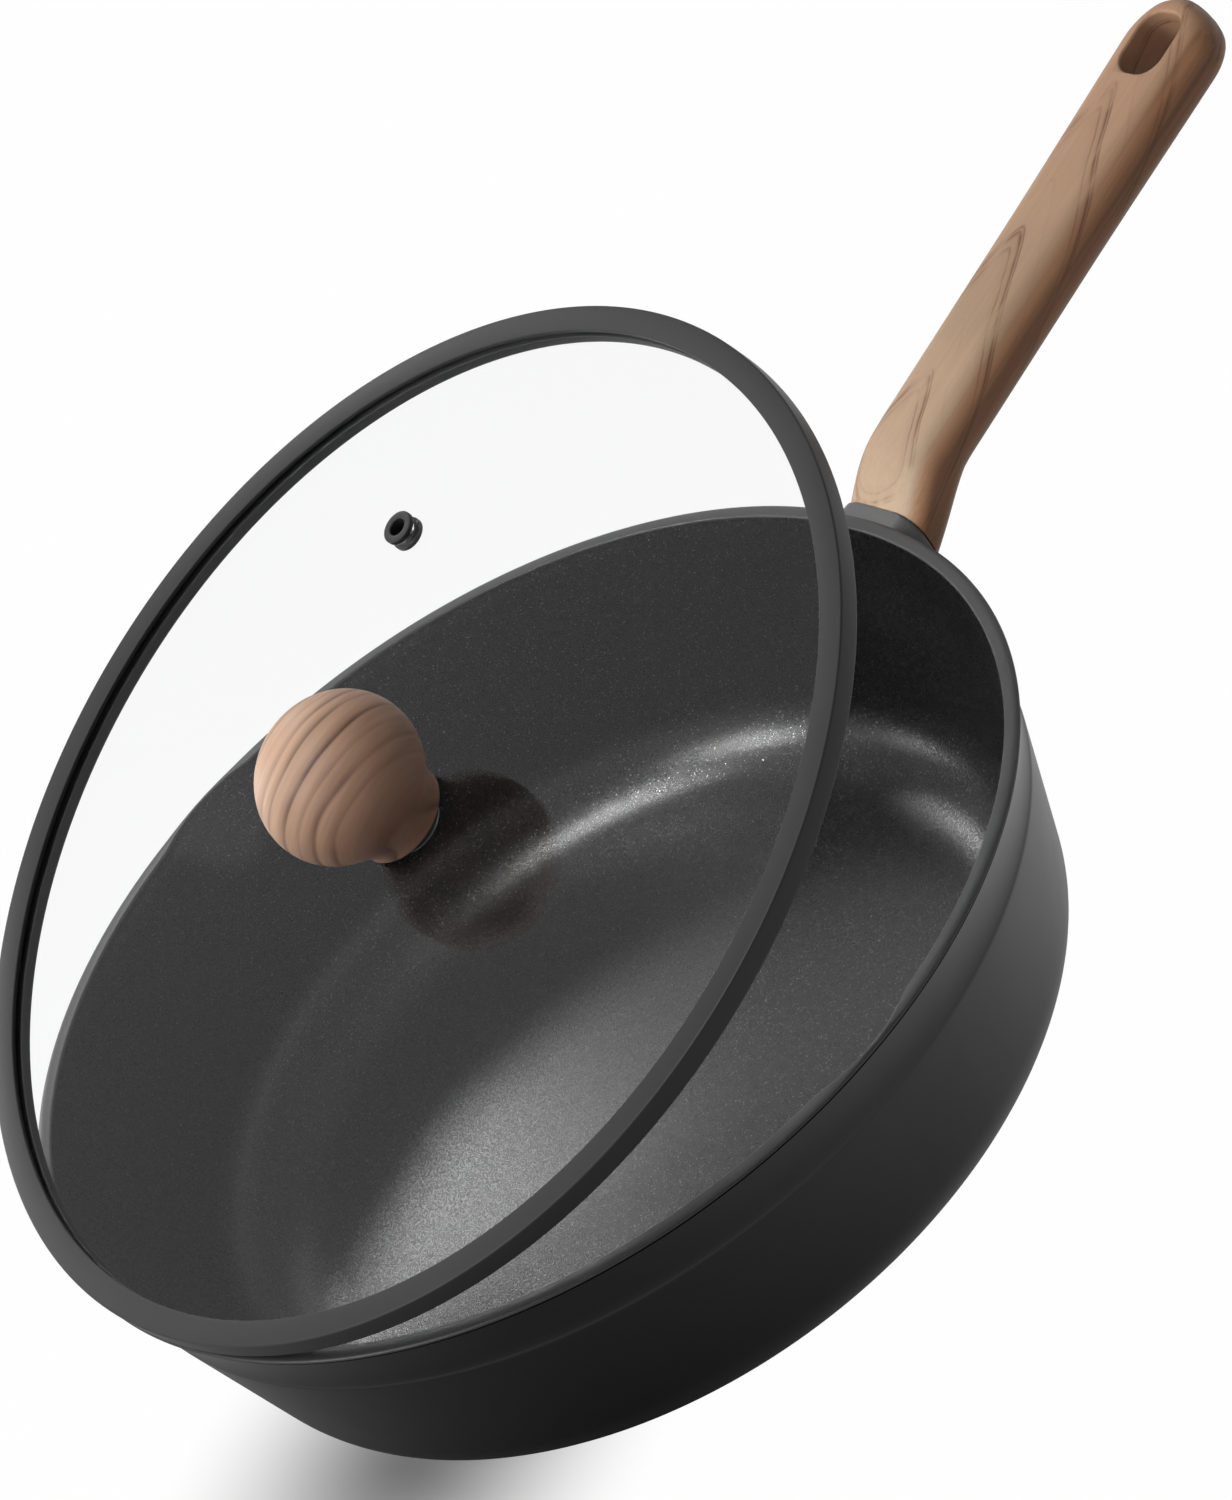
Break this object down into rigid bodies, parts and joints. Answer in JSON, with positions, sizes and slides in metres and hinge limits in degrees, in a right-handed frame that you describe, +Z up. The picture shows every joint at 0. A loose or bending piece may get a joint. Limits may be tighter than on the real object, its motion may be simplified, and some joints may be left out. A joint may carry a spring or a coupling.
{
  "type": "deep frying pan with lid",
  "caption": "Deep round non-stick frying pan with two pouring spouts, a bent wood-look handle with a hanging slot and a flat glass lid with a silicone edge, steam vent and ball knob.",
  "frame": {"origin": "centre of the pan's base underside", "axes": "+X along the handle, +Z up out of the pan"},
  "size_m": [0.4483, 0.284, 0.1643],
  "materials": {
    "coating": "cast aluminium under a matte black non-stick coating with fine sparkle",
    "wood_grain": "satin light brown wood grain",
    "silicone": "matte dark grey silicone",
    "glass": "clear tempered glass",
    "steel": "satin stainless steel",
    "brass": "turned brass"
  },
  "bodies": {
    "pan": {"pan_body": "coating", "induction_disc": "steel", "handle": "wood_grain", "handle_screw": "steel", "handle_washer": "steel"},
    "lid": {"lid_glass": "glass", "lid_rim_seal": "silicone", "vent_grommet": "silicone", "lid_knob": "wood_grain", "knob_insert": "brass", "knob_gasket": "silicone", "glass_gasket": "silicone", "knob_washer": "steel", "knob_screw": "steel"}
  },
  "joints": [
    {"name": "lid_tilt", "type": "hinge", "parent": "pan", "child": "lid", "pos_m": [-0.142, 0, 0.0746], "axis": [0, -1, 0], "range_deg": [-17.2, 62.8]}
  ]
}
